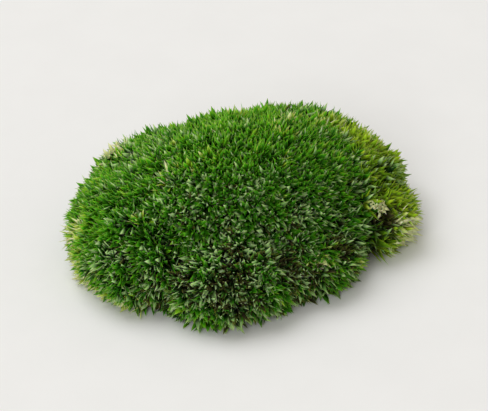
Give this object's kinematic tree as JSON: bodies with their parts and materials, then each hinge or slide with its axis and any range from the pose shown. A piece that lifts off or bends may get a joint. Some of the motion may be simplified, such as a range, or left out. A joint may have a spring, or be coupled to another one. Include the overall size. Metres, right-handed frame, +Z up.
{
  "type": "preserved cushion moss",
  "caption": "Low oval cushion of preserved moss: tufts of short leafy shoots on a brown mat of old stems, resting on a small flat spot.",
  "frame": {"origin": "middle of the cushion's outline, on the plane it rests on", "axes": "+X along the cushion's long side, towards its yellow-green end, +Y towards the back, +Z up"},
  "size_m": [0.1016, 0.0766, 0.0389],
  "materials": {
    "green_shoots": "soft leafy, slight gloss on the leaves",
    "yellow_green_shoots": "soft leafy, slight gloss on the leaves",
    "old_stems": "matt fibrous"
  },
  "bodies": {
    "root": {"old_stem_mat": "old_stems", "main_tuft": "green_shoots", "left_end_tuft": "green_shoots", "front_tuft": "green_shoots", "front_right_tuft": "green_shoots", "right_corner_tuft": "yellow_green_shoots", "right_end_tuft": "yellow_green_shoots", "back_left_tuft": "green_shoots", "back_right_tuft": "green_shoots"}
  },
  "joints": []
}
